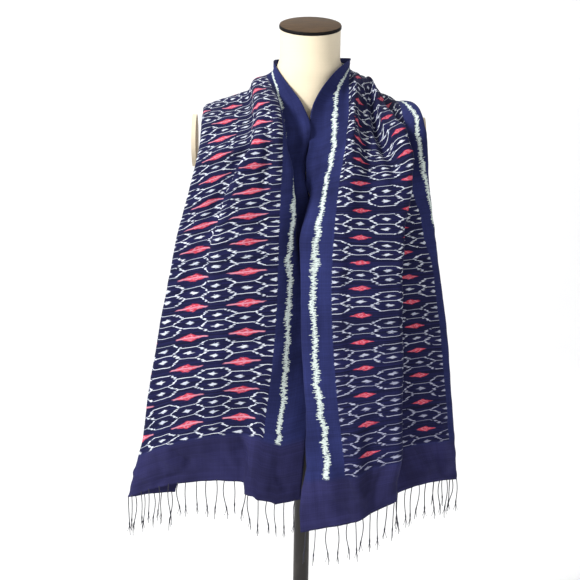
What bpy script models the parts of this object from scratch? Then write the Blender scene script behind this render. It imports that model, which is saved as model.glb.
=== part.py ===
# Ikat scarf worn on a limbless dress form stand.
# Metres, +Z up. The front faces -Y. The pole stands on the Z axis and the floor is at z = 0.
import bisect
import math

import bmesh
import bpy
from mathutils import Matrix, Vector

# Cloth cut
CLOTH_LENGTH = 2.0
CLOTH_WIDTH = 0.512
CLOTH_WALL = 0.0016
SEAM_GAP = 0.0003

# Cloth coordinates: s runs from the neck selvedge to the outer selvedge,
# v runs along the length from the hem on the -X side to the hem on the +X side.
FIELD_START = 0.093
LEFT_SEAM = 0.80
RIGHT_SEAM = 1.30

# One row for each section across the cloth, along v:
# where the patterned field starts (inner point), where the cloth turns at its outline (outer point),
# tilt = degrees from facing front (0) over facing up (90) to facing back (180),
# lean = degrees that it faces toward +X as well,
# bulge = degrees that the cloth's arc leaves its chord, lift = metres that its middle rises,
# border = degrees that the plain neck border leaves the chord.
SECTIONS = (
    # v, inner x, y, z, outer x, y, z, tilt, lean, bulge, lift, border
    (0.000, -0.083, -0.122, 0.575, -0.348, -0.050, 0.528, 0, 0, 18, 0.028, 16),
    (0.116, -0.073, -0.128, 0.719, -0.317, -0.056, 0.652, 0, 0, 18, 0.020, 20),
    (0.222, -0.061, -0.142, 0.839, -0.292, -0.066, 0.786, 0, 0, 18, 0.012, 20),
    (0.328, -0.055, -0.144, 0.953, -0.271, -0.074, 0.911, 0, 0, 18, 0.008, 20),
    (0.434, -0.053, -0.152, 1.072, -0.252, -0.084, 1.024, 0, 0, 18, 0.006, 20),
    (0.540, -0.050, -0.156, 1.172, -0.232, -0.096, 1.108, 0, 0, 20, 0.006, 20),
    (0.646, -0.049, -0.150, 1.254, -0.209, -0.104, 1.194, 15, 0, 20, 0.004, 18),
    (0.700, -0.052, -0.130, 1.286, -0.203, -0.094, 1.226, 30, -2, 16, 0.000, 10),
    (0.752, -0.058, -0.107, 1.315, -0.200, -0.080, 1.260, 45, -5, 8, -0.003, 0),
    (0.805, -0.070, -0.062, 1.338, -0.200, -0.040, 1.284, 68, -8, 4, -0.004, -30),
    (0.860, -0.079, -0.004, 1.361, -0.194, 0.016, 1.290, 95, -10, 10, 0.000, -60),
    (0.940, -0.032, 0.086, 1.366, -0.118, 0.140, 1.212, 135, -10, 36, 0.000, -36),
    (1.040, 0.072, 0.030, 1.376, 0.050, 0.150, 1.206, 120, 20, 50, 0.004, -20),
    (1.089, 0.074, -0.028, 1.350, 0.128, 0.122, 1.274, 92, 30, 54, 0.002, -8),
    (1.142, 0.073, -0.074, 1.309, 0.178, 0.074, 1.306, 75, 34, 44, -0.022, -10),
    (1.195, 0.071, -0.108, 1.278, 0.207, 0.002, 1.305, 62, 26, 28, -0.034, -5),
    (1.248, 0.067, -0.134, 1.246, 0.219, -0.048, 1.266, 46, 15, 26, -0.028, -8),
    (1.301, 0.061, -0.149, 1.210, 0.222, -0.066, 1.224, 30, 6, 22, -0.020, 6),
    (1.354, 0.055, -0.157, 1.171, 0.224, -0.078, 1.182, 15, 0, 22, -0.010, 17),
    (1.460, 0.048, -0.156, 1.075, 0.238, -0.070, 1.090, 0, 0, 20, 0.000, 22),
    (1.566, 0.046, -0.156, 0.975, 0.254, -0.065, 0.993, 0, 0, 20, 0.006, 22),
    (1.672, 0.051, -0.156, 0.870, 0.270, -0.060, 0.896, 0, 0, 20, 0.010, 20),
    (1.778, 0.061, -0.156, 0.765, 0.282, -0.055, 0.798, 0, 0, 20, 0.014, 20),
    (1.884, 0.076, -0.156, 0.648, 0.295, -0.050, 0.687, 0, 0, 20, 0.018, 21),
    (2.000, 0.086, -0.158, 0.521, 0.306, -0.050, 0.576, 0, 0, 20, 0.026, 22),
)

# One table for each fold. The cloth's heading turns by the angle between two places across it:
# v, from s, to s, angle in degrees.
OUTER_TURN = (
    (0.000, 0.398, 0.60, -125),
    (0.116, 0.366, 0.60, -148),
    (0.222, 0.338, 0.60, -160),
    (0.434, 0.312, 0.60, -162),
    (0.646, 0.318, 0.60, -160),
    (0.752, 0.330, 0.60, -160),
    (0.840, 0.384, 0.60, -166),
    (0.940, 0.440, 0.60, -110),
    (1.040, 0.490, 0.60, -110),
    (1.142, 0.490, 0.60, -125),
    (1.195, 0.490, 0.60, -130),
    (1.248, 0.488, 0.60, -135),
    (1.354, 0.470, 0.60, -125),
    (1.460, 0.455, 0.60, -125),
    (1.566, 0.441, 0.60, -120),
    (2.000, 0.441, 0.60, -120),
)
NECK_BAND = (
    (0.000, -0.10, 0.010, 0),
    (0.116, -0.10, 0.030, 5),
    (0.222, -0.10, 0.038, 12),
    (0.434, -0.10, 0.042, 15),
    (0.540, -0.10, 0.044, 0),
    (1.142, -0.10, 0.030, -25),
    (1.248, -0.10, 0.030, -10),
    (1.460, -0.10, 0.030, 110),
    (1.566, -0.10, 0.031, 145),
    (1.778, -0.10, 0.029, 140),
    (1.884, -0.10, 0.020, 90),
    (2.000, -0.10, 0.010, 0),
)
COLLAR_RETURN = (
    (0.328, 0.024, 0.044, 0),
    (0.434, 0.030, 0.050, 80),
    (0.540, 0.040, 0.067, 138),
    (0.646, 0.062, 0.085, 160),
    (0.805, 0.062, 0.088, 160),
    (0.900, 0.056, 0.084, 0),
    (1.040, 0.036, 0.060, 0),
    (1.142, 0.032, 0.060, 36),
    (1.248, 0.034, 0.060, 30),
    (1.354, 0.036, 0.060, 20),
    (1.460, 0.036, 0.060, 0),
)
SHOULDER_PLEAT = (
    (0.222, 0.222, 0.234, 0),
    (0.328, 0.218, 0.234, -40),
    (0.434, 0.212, 0.232, -75),
    (0.540, 0.200, 0.222, -105),
    (0.594, 0.186, 0.208, -110),
    (0.646, 0.162, 0.184, -115),
    (0.752, 0.158, 0.182, -120),
    (0.860, 0.158, 0.184, -105),
    (0.940, 0.176, 0.206, -60),
    (1.040, 0.176, 0.206, 0),
)
BACK_SWAG_IN = (
    (0.860, 0.260, 0.300, 0),
    (0.940, 0.260, 0.310, -75),
    (1.040, 0.250, 0.300, -80),
    (1.142, 0.255, 0.305, -30),
    (1.195, 0.260, 0.310, 0),
)
BACK_SWAG_OUT = (
    (0.860, 0.310, 0.350, 0),
    (0.940, 0.330, 0.375, 60),
    (1.040, 0.320, 0.365, 65),
    (1.142, 0.340, 0.385, 50),
    (1.248, 0.345, 0.385, 25),
    (1.354, 0.345, 0.385, 0),
)
COWL_RIDGE_UP = (
    (1.040, 0.096, 0.120, 0),
    (1.142, 0.096, 0.121, 75),
    (1.248, 0.096, 0.121, 80),
    (1.354, 0.096, 0.120, 55),
    (1.460, 0.098, 0.118, 20),
    (1.566, 0.098, 0.118, 0),
    (1.778, 0.098, 0.118, 0),
    (1.884, 0.096, 0.118, 45),
    (2.000, 0.094, 0.120, 30),
)
COWL_RIDGE_DOWN = (
    (1.040, 0.126, 0.156, 0),
    (1.142, 0.126, 0.156, -75),
    (1.248, 0.126, 0.156, -80),
    (1.354, 0.126, 0.154, -55),
    (1.460, 0.130, 0.156, -20),
    (1.566, 0.130, 0.150, 0),
    (1.778, 0.128, 0.148, 0),
    (1.884, 0.126, 0.148, -45),
    (2.000, 0.130, 0.156, -30),
)
DEEP_PLEAT = (
    (1.089, 0.285, 0.315, 0),
    (1.142, 0.285, 0.330, -70),
    (1.195, 0.285, 0.352, -125),
    (1.248, 0.283, 0.365, -150),
    (1.301, 0.276, 0.360, -155),
    (1.354, 0.264, 0.346, -155),
    (1.460, 0.243, 0.310, -158),
    (1.566, 0.232, 0.290, -160),
    (1.672, 0.227, 0.282, -160),
    (1.884, 0.219, 0.268, -150),
    (2.000, 0.219, 0.254, -80),
)
LEFT_BORDER_ROLL = (
    (0.116, 0.030, 0.088, 0),
    (0.222, 0.036, 0.088, 25),
    (0.434, 0.044, 0.088, 28),
    (0.540, 0.060, 0.088, 0),
)
LEFT_HEM_STEP = (
    (0.000, 0.112, 0.134, -75),
    (0.116, 0.112, 0.134, -40),
    (0.222, 0.112, 0.134, 0),
)
FOLDS = (
    OUTER_TURN,
    NECK_BAND,
    COLLAR_RETURN,
    SHOULDER_PLEAT,
    BACK_SWAG_IN,
    BACK_SWAG_OUT,
    COWL_RIDGE_UP,
    COWL_RIDGE_DOWN,
    DEEP_PLEAT,
    LEFT_BORDER_ROLL,
    LEFT_HEM_STEP,
)

# Half of the width over which a fold's edge turns. It is larger where the cloth is gathered.
FOLD_SOFTNESS = (
    (0.000, 0.018),
    (0.222, 0.017),
    (0.434, 0.015),
    (0.646, 0.018),
    (0.752, 0.025),
    (0.840, 0.030),
    (1.040, 0.026),
    (1.354, 0.022),
    (1.566, 0.015),
)

# How much lower the selvedge hangs than the outline, behind it.
FLAP_DROP = (
    (0.000, 0.034),
    (0.222, 0.000),
)

# How much of its own width the neck border keeps where it stands round the neck.
BORDER_GATHER = (
    (0.646, 1.00),
    (0.752, 0.80),
    (0.840, 0.34),
    (0.940, 0.26),
    (1.040, 0.20),
    (1.089, 0.48),
    (1.142, 0.80),
    (1.248, 0.86),
    (1.301, 0.84),
    (1.354, 0.92),
    (1.460, 1.00),
)

# Degrees that the border swings round +Z to lie toward the V of the neck.
BORDER_SWING = (
    (0.940, 0),
    (1.040, -10),
    (1.142, -42),
    (1.195, -28),
    (1.248, -22),
    (1.301, -15),
    (1.354, -12),
    (1.460, 0),
)

# How far the front layer sags between two places across it, lowest at the one between them.
PLEAT_SAG = (
    # v, from s, lowest s, to s, depth
    (1.040, 0.150, 0.205, 0.245, 0.000),
    (1.089, 0.150, 0.205, 0.245, 0.009),
    (1.142, 0.150, 0.205, 0.245, 0.016),
    (1.195, 0.150, 0.208, 0.248, 0.021),
    (1.248, 0.150, 0.212, 0.252, 0.022),
    (1.301, 0.140, 0.216, 0.262, 0.010),
    (1.354, 0.110, 0.230, 0.300, 0.003),
    (1.460, 0.093, 0.236, 0.300, 0.008),
    (1.778, 0.093, 0.224, 0.276, 0.009),
    (2.000, 0.093, 0.216, 0.260, 0.004),
)

# Length of cloth between the points of a section, and the height near a hem where the cloth hangs straight
SECTION_STEP = 0.002
HEM_LEVEL = 0.005

# Mesh of the cloth solids
CLOTH_COLUMNS = 44
COLUMN_STEP = CLOTH_WIDTH / CLOTH_COLUMNS
LONG_PANEL_ROWS = 22
BACK_PANEL_ROWS = 15

# Fringe
STRANDS = 25
STRAND_WIDTH = 0.0020
STRAND_INSET = 0.010
FRINGE_STRIP = 0.004
FRINGE_LENGTH = 0.076
KNOT_PLACE = 0.76
KNOT_LENGTH = 0.007
KNOT_SWELL = 2.1
STRAND_SWAY = 0.004

# Dress form
CAP_TILT = math.radians(15)
CAP_RADIUS = 0.059
CAP_THICKNESS = 0.007
NECK_RADIUS = 0.0575
NECK_TOP_FRONT = 1.433
NECK_TOP = NECK_TOP_FRONT + NECK_RADIUS * math.tan(CAP_TILT)
SHOULDER_HEIGHT = 1.208
TORSO_SIDES = 32
PLATE_FACE = 0.2137
PLATE_THICKNESS = 0.008
PLATE_LEVEL = 1.234
PLATE_HEIGHT = 0.100
PLATE_DEPTH = 0.084
POLE_RADIUS = 0.016
POLE_COLLAR_RADIUS = 0.030
POLE_COLLAR_HEIGHT = 0.030
BODY_BOTTOM = 0.720
BASE_RADIUS = 0.175
BASE_EDGE = 0.007
BASE_DOME = 0.016
BASE_HUB_RADIUS = 0.024

# One row for each ring of the dress form's body: height, half width, half depth, forward shift.
TORSO_RINGS = (
    # z, half width, half depth, forward
    (BODY_BOTTOM, 0.142, 0.096, -0.010),
    (0.740, 0.150, 0.102, -0.010),
    (0.820, 0.155, 0.104, -0.010),
    (0.900, 0.136, 0.090, -0.006),
    (0.975, 0.118, 0.078, -0.002),
    (1.060, 0.130, 0.084, 0.000),
    (1.140, 0.150, 0.090, 0.002),
    (1.170, 0.180, 0.090, 0.002),
    (1.190, 0.203, 0.084, 0.000),
    (SHOULDER_HEIGHT, PLATE_FACE - SEAM_GAP, 0.078, 0.000),
    (1.224, 0.200, 0.072, 0.000),
    (1.241, 0.155, 0.068, 0.000),
    (1.264, 0.117, 0.067, 0.000),
    (1.302, 0.0765, 0.0720, 0.000),
    (1.334, 0.0675, 0.0655, 0.000),
    (1.360, 0.0632, 0.0632, 0.000),
    (1.374, 0.0632, 0.0632, 0.000),
    (1.390, NECK_RADIUS, NECK_RADIUS, 0.000),
)


def clear_scene():
    for item in list(bpy.data.objects):
        bpy.data.objects.remove(item, do_unlink=True)


def make_material(name, colour, roughness, metallic=0.0):
    material = bpy.data.materials.new(name)
    material.use_nodes = True
    shader = material.node_tree.nodes["Principled BSDF"]
    shader.inputs["Base Color"].default_value = (*colour, 1.0)
    shader.inputs["Roughness"].default_value = roughness
    shader.inputs["Metallic"].default_value = metallic
    return material


def finish_object(name, bm, material, smooth=True):
    bmesh.ops.recalc_face_normals(bm, faces=bm.faces)
    mesh = bpy.data.meshes.new(name)
    bm.to_mesh(mesh)
    bm.free()
    for face in mesh.polygons:
        face.use_smooth = smooth
    mesh.materials.append(material)
    item = bpy.data.objects.new(name, mesh)
    bpy.context.scene.collection.objects.link(item)
    return item


def smoothstep(t):
    t = min(1.0, max(0.0, t))
    return t * t * (3 - 2 * t)


def along(rows, v):
    """A table's other columns at v, on a smooth curve through its rows."""
    keys = [row[0] for row in rows]
    if v <= keys[0]:
        return rows[0][1:]
    if v >= keys[-1]:
        return rows[-1][1:]
    i = bisect.bisect_right(keys, v) - 1
    before, start, end, after = rows[max(i - 1, 0)], rows[i], rows[i + 1], rows[min(i + 2, len(rows) - 1)]
    span = end[0] - start[0]
    t = (v - start[0]) / span
    values = []
    for column in range(1, len(start)):
        rise_in = (end[column] - before[column]) / (end[0] - before[0]) * span
        rise_out = (after[column] - start[column]) / (after[0] - start[0]) * span
        values.append(
            (2 * t**3 - 3 * t**2 + 1) * start[column]
            + (t**3 - 2 * t**2 + t) * rise_in
            + (3 * t**2 - 2 * t**3) * end[column]
            + (t**3 - t**2) * rise_out
        )
    return values


def fold_at(rows, v):
    """A fold's two places and its angle at v, eased between the rows."""
    keys = [row[0] for row in rows]
    if v <= keys[0]:
        return rows[0][1:]
    if v >= keys[-1]:
        return rows[-1][1:]
    i = bisect.bisect_right(keys, v) - 1
    t = smoothstep((v - keys[i]) / (keys[i + 1] - keys[i]))
    return [a + (b - a) * t for a, b in zip(rows[i][1:], rows[i + 1][1:])]


def window(s, start, end, soft):
    """One between start and end, zero outside, with soft shoulders."""
    rise = smoothstep((s - start) / (2 * soft) + 0.5)
    fall = smoothstep((s - end) / (2 * soft) + 0.5)
    return rise - fall


class Section:
    """The cloth's line across its width at one v, as points at each SECTION_STEP of s."""

    def __init__(self, v):
        row = along(SECTIONS, v)
        inner = Vector(row[0:3])
        outer = Vector(row[3:6])
        tilt, lean, bulge, lift, border = row[6:]
        turn = fold_at(OUTER_TURN, v)[0]
        gather = along(BORDER_GATHER, v)[0]
        soft = along(FOLD_SOFTNESS, v)[0]
        drop = along(FLAP_DROP, v)[0]
        sag_start, sag_lowest, sag_end, sag_depth = fold_at(PLEAT_SAG, v)
        border_swing = Matrix.Rotation(math.radians(along(BORDER_SWING, v)[0]), 3, "Z")
        folds = [fold_at(rows, v) for rows in FOLDS]
        steps = round(CLOTH_WIDTH / SECTION_STEP)
        flat = [(0.0, 0.0)]
        for i in range(steps):
            s = (i + 0.5) * SECTION_STEP
            share = min(1.0, max(0.0, (s - FIELD_START) / (turn - FIELD_START)))
            field = smoothstep((s - FIELD_START) / (2 * soft) + 0.5)
            angle = border * (1 - field) + bulge * (1 - 2 * share) * field
            angle += sum(a * window(s, start, end, soft) for start, end, a in folds)
            angle = math.radians(angle)
            flat.append((flat[-1][0] + math.cos(angle) * SECTION_STEP,
                         flat[-1][1] + math.sin(angle) * SECTION_STEP))
        start = Vector(self.sample(flat, FIELD_START))
        chord = Vector(self.sample(flat, turn)) - start
        span = (outer - inner).length
        self.squeeze = span / chord.length
        swing = math.atan2(chord.y, chord.x)
        forward = (outer - inner).normalized()
        tilt, lean = math.radians(tilt), math.radians(lean)
        up = Vector((math.sin(lean), -math.cos(tilt) * math.cos(lean), math.sin(tilt) * math.cos(lean)))
        up = (up - forward * up.dot(forward)).normalized()
        self.points = []
        for i, place in enumerate(flat):
            step = Vector(place) - start
            step.rotate(Matrix.Rotation(-swing, 2))
            in_border = i * SECTION_STEP <= FIELD_START
            step *= gather if in_border else self.squeeze
            share = min(1.0, max(0.0, step.x / span))
            offset = forward * step.x + up * step.y
            point = inner + (border_swing @ offset if in_border else offset)
            behind = max(0.0, i * SECTION_STEP - turn) / (CLOTH_WIDTH - turn)
            s = i * SECTION_STEP
            sag = min((s - sag_start) / (sag_lowest - sag_start), (sag_end - s) / (sag_end - sag_lowest))
            point.z += lift * 4 * share * (1 - share) - drop * behind - sag_depth * smoothstep(sag)
            self.points.append(point)

    @staticmethod
    def sample(points, s):
        place = min(max(s / SECTION_STEP, 0.0), len(points) - 1.000001)
        i = int(place)
        a, b = points[i], points[i + 1]
        return [p + (q - p) * (place - i) for p, q in zip(a, b)]

    def at(self, s):
        return Vector(self.sample(self.points, s))


SECTION_STORE = {}


def section(v):
    key = round(v, 6)
    if key not in SECTION_STORE:
        SECTION_STORE[key] = Section(v)
    return SECTION_STORE[key]


def cloth_point(s, v):
    """The middle of the cloth. Beyond a hem it carries on straight down."""
    beyond = max(0.0, -v, v - CLOTH_LENGTH)
    point = section(min(max(v, 0.0), CLOTH_LENGTH)).at(s)
    point.z -= beyond
    return point


def cloth_normal(s, v):
    """Square to the cloth, on its right side."""
    step_s, step_v = 0.003, 0.004
    v_low = min(max(v, 0.0), CLOTH_LENGTH - step_v)
    s_low, s_high = max(s - step_s, 0.0), min(s + step_s, CLOTH_WIDTH)
    across = section(v_low).at(s_high) - section(v_low).at(s_low)
    up = section(v_low + step_v).at(s) - section(v_low).at(s)
    if min(v, CLOTH_LENGTH - v) < HEM_LEVEL:
        across.z = 0
        up = Vector((0, 0, 1)) if v < HEM_LEVEL else Vector((0, 0, -1))
    return across.cross(up).normalized() * -1


def skin_point(s, v, offset):
    return cloth_point(s, v) + cloth_normal(s, v) * offset


def faceted_point(s, v, offset):
    """A point on the flat facet between two columns of the cloth's mesh."""
    column = min(int(s / COLUMN_STEP), CLOTH_COLUMNS - 1)
    share = s / COLUMN_STEP - column
    start = skin_point(column * COLUMN_STEP, v, offset)
    end = skin_point((column + 1) * COLUMN_STEP, v, offset)
    return start + (end - start) * share


def wall_mesh(s_values, v_values, wall, place=skin_point):
    """A closed wall over a grid of cloth coordinates, with the same triangles on both skins."""
    bm = bmesh.new()
    bmesh.ops.create_grid(bm, x_segments=len(s_values) - 1, y_segments=len(v_values) - 1, size=1)
    s_layer = bm.verts.layers.float.new("s")
    v_layer = bm.verts.layers.float.new("v")
    for vert in bm.verts:
        column = round((vert.co.x + 1) / 2 * (len(s_values) - 1))
        row = round((vert.co.y + 1) / 2 * (len(v_values) - 1))
        vert[s_layer] = s_values[column]
        vert[v_layer] = v_values[row]
        vert.co = place(vert[s_layer], vert[v_layer], 0)
    bmesh.ops.triangulate(bm, faces=bm.faces, quad_method="SHORT_EDGE")
    outer = list(bm.verts)
    made = bmesh.ops.extrude_face_region(bm, geom=list(bm.faces))
    inner = [item for item in made["geom"] if isinstance(item, bmesh.types.BMVert)]
    for verts, side in ((outer, 0.5), (inner, -0.5)):
        for vert in verts:
            vert.co = place(vert[s_layer], vert[v_layer], wall * side)
    return bm


def spread(start, end, count):
    return [start + (end - start) * i / count for i in range(count + 1)]


def make_cloth(name, v_start, v_end, rows, material):
    s_values = spread(0.0, CLOTH_WIDTH, CLOTH_COLUMNS)
    bm = wall_mesh(s_values, spread(v_start, v_end, rows), CLOTH_WALL)
    return finish_object(name, bm, material)


def strand_place(i):
    return STRAND_INSET + (CLOTH_WIDTH - 2 * STRAND_INSET) * i / (STRANDS - 1)


def make_fringe(name, v_hem, outward, material):
    """Knotted warp strands on a narrow strip that follows the hem."""
    s_values = [
        s for s in spread(0.0, CLOTH_WIDTH, CLOTH_COLUMNS)
        if min(abs(s - strand_place(i)) for i in range(STRANDS)) > STRAND_WIDTH
    ]
    for i in range(STRANDS):
        s_values += [strand_place(i) - STRAND_WIDTH / 2, strand_place(i) + STRAND_WIDTH / 2]
    s_values.sort()
    v_values = [v_hem + outward * SEAM_GAP, v_hem + outward * (SEAM_GAP + FRINGE_STRIP)]
    bm = wall_mesh(s_values, v_values, STRAND_WIDTH, faceted_point)
    bm.normal_update()
    s_layer = bm.verts.layers.float["s"]
    v_layer = bm.verts.layers.float["v"]
    undersides = {}
    for face in bm.faces:
        if all(abs(vert[v_layer] - v_values[1]) < SEAM_GAP / 2 for vert in face.verts):
            undersides[sum(vert[s_layer] for vert in face.verts) / len(face.verts)] = face
    for i in range(STRANDS):
        nearest = min(undersides, key=lambda s: abs(s - strand_place(i)))
        grow_strand(bm, undersides[nearest], i)
    return finish_object(name, bm, material)


def grow_strand(bm, root, i):
    """Extrude one strand from a face of the strip: cord, knot and tail."""
    length = FRINGE_LENGTH * (1 + 0.10 * math.sin(2.4 * i))
    knot = length * KNOT_PLACE
    sway = STRAND_SWAY * math.sin(1.7 * i)
    stations = (
        # depth below the root, width, sideways
        (knot - KNOT_LENGTH / 2, 0.8, sway * 0.6),
        (knot, KNOT_SWELL, sway * 0.7),
        (knot + KNOT_LENGTH / 2, 0.8, sway * 0.8),
        (length, 0.7, sway),
    )
    ring = list(root.verts)
    middle = sum((vert.co for vert in ring), Vector()) / len(ring)
    offsets = [vert.co - middle for vert in ring]
    face = root
    for depth, width, sideways in stations:
        face = bmesh.ops.extrude_discrete_faces(bm, faces=[face])["faces"][0]
        for vert, offset in zip(face.verts, offsets):
            vert.co = middle + offset * width + Vector((sideways, 0, -depth))


def ring_points(centre, half_width, half_depth, sides):
    return [
        centre + Vector((half_width * math.cos(2 * math.pi * k / sides),
                         half_depth * math.sin(2 * math.pi * k / sides), 0))
        for k in range(sides)
    ]


def lofted(rings):
    """A closed body through rings of points, with flat ends."""
    bm = bmesh.new()
    loops = []
    for ring in rings:
        verts = [bm.verts.new(point) for point in ring]
        loops.append([bm.edges.new((verts[k - 1], verts[k])) for k in range(len(verts))])
    for low, high in zip(loops, loops[1:]):
        bmesh.ops.bridge_loops(bm, edges=low + high)
    for loop in (loops[0], loops[-1]):
        bmesh.ops.holes_fill(bm, edges=loop, sides=0)
    return bm


def make_torso(material):
    rings = [
        ring_points(Vector((0, -forward, z)), half_width, half_depth, TORSO_SIDES)
        for z, half_width, half_depth, forward in TORSO_RINGS
    ]
    top = ring_points(Vector((0, 0, NECK_TOP)), NECK_RADIUS, NECK_RADIUS, TORSO_SIDES)
    for point in top:
        point.z += point.y * math.tan(CAP_TILT)
    rings.append(top)
    return finish_object("form_torso", lofted(rings), material)


def make_neck_cap(material):
    """A disc with a soft upper edge, tipped forward on the neck."""
    bm = bmesh.new()
    bmesh.ops.create_cone(bm, cap_ends=True, segments=TORSO_SIDES, radius1=CAP_RADIUS,
                          radius2=CAP_RADIUS, depth=CAP_THICKNESS)
    edge = [e for e in bm.edges if all(vert.co.z > 0 for vert in e.verts)]
    bmesh.ops.bevel(bm, geom=edge, offset=0.0025, offset_type="OFFSET", affect="EDGES",
                    segments=2, profile=0.5, material=-1)
    item = finish_object("neck_cap", bm, material)
    item.rotation_euler = (CAP_TILT, 0, 0)
    out_of_neck = Vector((0, -math.sin(CAP_TILT), math.cos(CAP_TILT)))
    item.location = Vector((0, 0, NECK_TOP)) + out_of_neck * (CAP_THICKNESS / 2 + SEAM_GAP)
    return item


def make_arm_plate(name, side, material):
    """A flat oval plate that closes the shoulder end."""
    bm = bmesh.new()
    bmesh.ops.create_cone(bm, cap_ends=True, segments=24, radius1=0.5, radius2=0.5,
                          depth=PLATE_THICKNESS)
    for vert in bm.verts:
        x, y, z = vert.co
        vert.co = Vector((side * (z + PLATE_THICKNESS / 2 + PLATE_FACE), y * PLATE_DEPTH, x * PLATE_HEIGHT))
    bmesh.ops.translate(bm, verts=bm.verts, vec=(0, 0, PLATE_LEVEL))
    return finish_object(name, bm, material, smooth=False)


def make_tube_body(name, radius, low, high, material):
    bm = bmesh.new()
    bmesh.ops.create_cone(bm, cap_ends=True, segments=24, radius1=radius, radius2=radius,
                          depth=high - low)
    bmesh.ops.translate(bm, verts=bm.verts, vec=(0, 0, (low + high) / 2))
    return finish_object(name, bm, material)


def make_stand_base(material):
    """A low domed disc, turned from one profile, with a flat underside."""
    profile = (
        # radius, height
        (BASE_RADIUS - 0.002, 0.0),
        (BASE_RADIUS, 0.002),
        (BASE_RADIUS, BASE_EDGE),
        (BASE_RADIUS * 0.97, BASE_EDGE + 0.003),
        (BASE_RADIUS * 0.60, BASE_DOME - 0.003),
        (BASE_HUB_RADIUS * 1.4, BASE_DOME),
        (BASE_HUB_RADIUS, BASE_DOME + 0.012),
        (BASE_HUB_RADIUS * 0.9, BASE_DOME + 0.014),
    )
    rings = [ring_points(Vector((0, 0, z)), radius, radius, 40) for radius, z in profile]
    return finish_object("stand_base", lofted(rings), material)


def main():
    clear_scene()
    cloth = make_material("indigo_cloth", (0.022, 0.024, 0.090), 0.85)
    cord = make_material("indigo_cord", (0.008, 0.008, 0.022), 0.80)
    linen = make_material("cream_linen", (0.86, 0.77, 0.60), 0.85)
    wood = make_material("dark_wood", (0.17, 0.10, 0.06), 0.45)
    black = make_material("black_metal", (0.015, 0.014, 0.013), 0.35, 0.6)

    make_cloth("scarf_left", 0.0, LEFT_SEAM - SEAM_GAP / 2, LONG_PANEL_ROWS, cloth)
    make_cloth("scarf_back", LEFT_SEAM + SEAM_GAP / 2, RIGHT_SEAM - SEAM_GAP / 2, BACK_PANEL_ROWS, cloth)
    make_cloth("scarf_right", RIGHT_SEAM + SEAM_GAP / 2, CLOTH_LENGTH, LONG_PANEL_ROWS, cloth)
    make_fringe("fringe_left", 0.0, -1, cord)
    make_fringe("fringe_right", CLOTH_LENGTH, 1, cord)

    make_torso(linen)
    make_neck_cap(wood)
    make_arm_plate("arm_plate_left", -1, linen)
    make_arm_plate("arm_plate_right", 1, linen)
    collar_top = BODY_BOTTOM - SEAM_GAP
    collar_low = collar_top - POLE_COLLAR_HEIGHT
    make_tube_body("pole_collar", POLE_COLLAR_RADIUS, collar_low, collar_top, black)
    base_top = BASE_DOME + 0.014
    make_tube_body("pole", POLE_RADIUS, base_top + SEAM_GAP, collar_low - SEAM_GAP, black)
    make_stand_base(black)


main()
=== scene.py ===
# %% [markdown]
# # A long ikat scarf on a dress form
#
# The scarf is one woven length of indigo cotton, 51 cm wide and two metres long, with knotted fringe at both
# ends. It hangs down the front on one side, goes round the neck, falls in swags over the back and comes
# forward again. The imported model gives the dress form and the cloth's place. This script adds the looks.

# The finished scarf has to stay within a few millimetres of it.

# %% Load the imported model
import bisect
import math

import bmesh
import bpy
import numpy as np
from mathutils import Matrix, Vector, noise


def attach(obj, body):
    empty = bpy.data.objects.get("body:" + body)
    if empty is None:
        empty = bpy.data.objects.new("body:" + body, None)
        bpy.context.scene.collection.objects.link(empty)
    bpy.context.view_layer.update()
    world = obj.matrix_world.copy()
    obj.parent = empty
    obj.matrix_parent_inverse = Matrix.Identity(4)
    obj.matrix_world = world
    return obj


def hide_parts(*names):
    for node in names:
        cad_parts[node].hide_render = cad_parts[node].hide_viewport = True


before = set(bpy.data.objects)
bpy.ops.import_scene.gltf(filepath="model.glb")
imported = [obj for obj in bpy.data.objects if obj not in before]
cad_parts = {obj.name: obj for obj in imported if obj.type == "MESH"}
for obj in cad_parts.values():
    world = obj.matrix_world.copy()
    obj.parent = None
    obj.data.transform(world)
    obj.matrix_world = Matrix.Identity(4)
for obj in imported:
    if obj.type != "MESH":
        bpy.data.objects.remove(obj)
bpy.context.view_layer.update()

# %% [markdown]
# ## Camera
#
# The picture was taken from a little above the form's neck, looking down, with a moderate telephoto lens. A long
# lens keeps the fronts of the scarf from spreading. The horizon is turned by less than a degree.

# %% Camera
CAMERA_PLACE = Vector((-0.031, -2.39, 1.43))
CAMERA_DOWN = math.radians(11.5)
CAMERA_ROLL = math.radians(0.86)

lens = bpy.data.cameras.new("camera")
lens.lens = 77
lens.sensor_width = 36
camera = bpy.data.objects.new("camera", lens)
bpy.context.scene.collection.objects.link(camera)
look = Matrix.Rotation(math.pi / 2 - CAMERA_DOWN, 4, "X") @ Matrix.Rotation(CAMERA_ROLL, 4, "Z")
camera.matrix_world = Matrix.Translation(CAMERA_PLACE) @ look
bpy.context.scene.camera = camera
print("camera:", tuple(CAMERA_PLACE), "lens", lens.lens, "mm")

# %% [markdown]
# ## Helpers for materials
#
# Most finishes here are sums of small formulas, so two helpers keep them short: one adds a Math node, the other
# a Mix node for colours. Colours are given as they look on a screen and are turned into Blender's linear values.

# %% Material helpers
def screen_colour(red, green, blue):
    """A colour in Blender's linear values, from the 0 to 255 values of a screen."""
    parts = [part / 255 for part in (red, green, blue)]
    linear = [part / 12.92 if part <= 0.04045 else ((part + 0.055) / 1.055) ** 2.4 for part in parts]
    return (*linear, 1.0)


def feed(tree, socket, value):
    """Link a socket to another one, or give it a plain value."""
    if isinstance(value, bpy.types.NodeSocket):
        tree.links.new(value, socket)
    else:
        socket.default_value = value


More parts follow.
